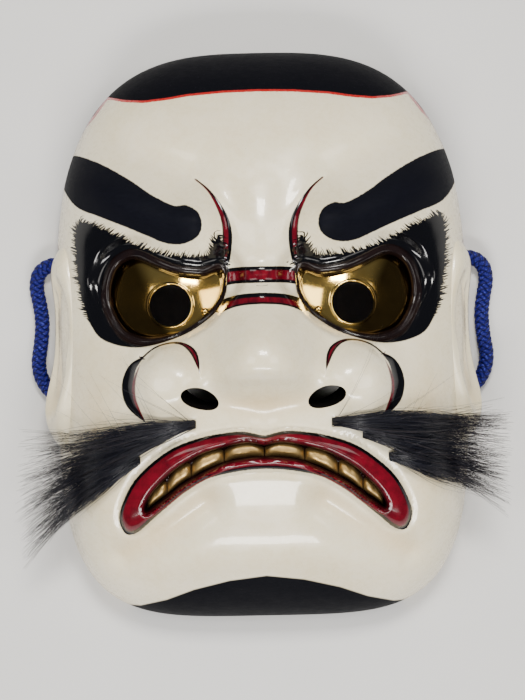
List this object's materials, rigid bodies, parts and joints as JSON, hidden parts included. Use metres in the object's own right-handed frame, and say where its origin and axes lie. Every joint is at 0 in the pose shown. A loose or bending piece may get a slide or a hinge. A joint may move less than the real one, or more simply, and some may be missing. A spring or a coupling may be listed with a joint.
{
  "type": "noh mask",
  "caption": "Carved hollow theatre mask with gilt eye plates, gilded teeth, set-in hair moustache, separate ears and braided tie cords.",
  "frame": {"origin": "centre of the rim plane, midway between the cheeks and between chin and forehead", "axes": "+Z out of the face, +Y towards the forehead, +X to the viewer's right; the mask lies face up with its rim at z = 0"},
  "size_m": [0.1762, 0.214, 0.0724],
  "materials": {
    "shell": "ivory shell-white lacquer over wood, gloss, with black, deep red and bare wood inside",
    "eye_gilt": "mirror gilding",
    "teeth": "satin antique gilding",
    "hair": "coarse black animal hair",
    "cord": "braided silk, cobalt blue with pale flecks"
  },
  "bodies": {
    "root": {"mask_shell": "shell", "left_ear": "shell", "right_ear": "shell", "left_eye_plate": "eye_gilt", "right_eye_plate": "eye_gilt", "left_eye_nail": "eye_gilt", "right_eye_nail": "eye_gilt", "tooth_row": "teeth", "left_tuft_1": "hair", "left_tuft_2": "hair", "left_tuft_3": "hair", "right_tuft_1": "hair", "right_tuft_2": "hair", "right_tuft_3": "hair", "left_stopper_knot": "cord", "left_cord": "cord", "left_cord_coil": "cord", "left_coil_tie": "cord", "left_end_knot": "cord", "right_stopper_knot": "cord", "right_cord": "cord", "right_cord_coil": "cord", "right_coil_tie": "cord", "right_end_knot": "cord"}
  },
  "joints": []
}
